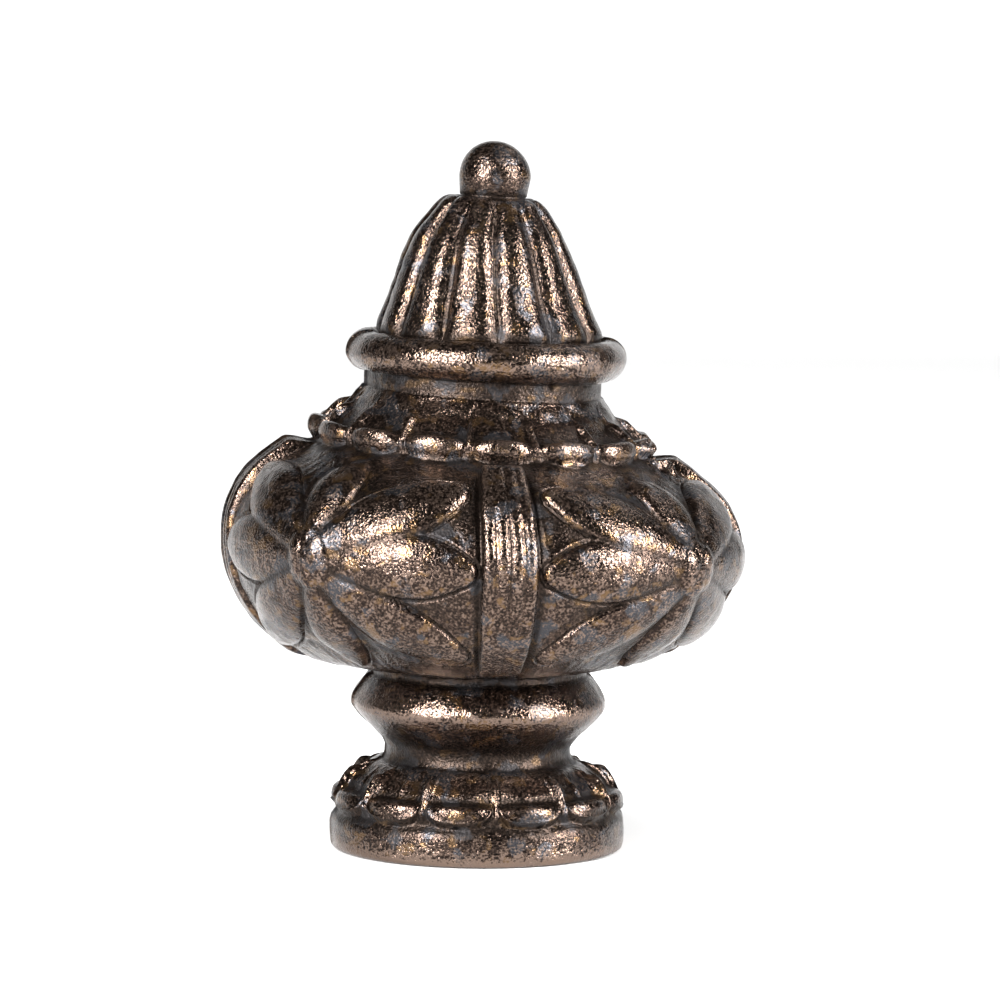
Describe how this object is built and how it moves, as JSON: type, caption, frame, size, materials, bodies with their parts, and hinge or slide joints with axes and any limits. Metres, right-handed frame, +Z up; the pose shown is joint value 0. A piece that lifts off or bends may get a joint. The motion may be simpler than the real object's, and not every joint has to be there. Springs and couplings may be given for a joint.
{
  "type": "lamp finial",
  "caption": "Urn-shaped cast metal finial with a ribbed bell top, a leaf-carved bulb, a petalled foot and a blind threaded hole in its flat underside.",
  "frame": {"origin": "centre of the flat underside, on the turned axis", "axes": "+Z up the turned axis from the underside to the ball, with the four stalks of the bulb on +X, -X, +Y and -Y"},
  "size_m": [0.0426, 0.0426, 0.0575],
  "materials": {
    "antique_bronze": "dark antique bronze with copper-coloured rubbed high spots and a fine cast grain"
  },
  "bodies": {
    "root": {"finial": "antique_bronze"}
  },
  "joints": []
}
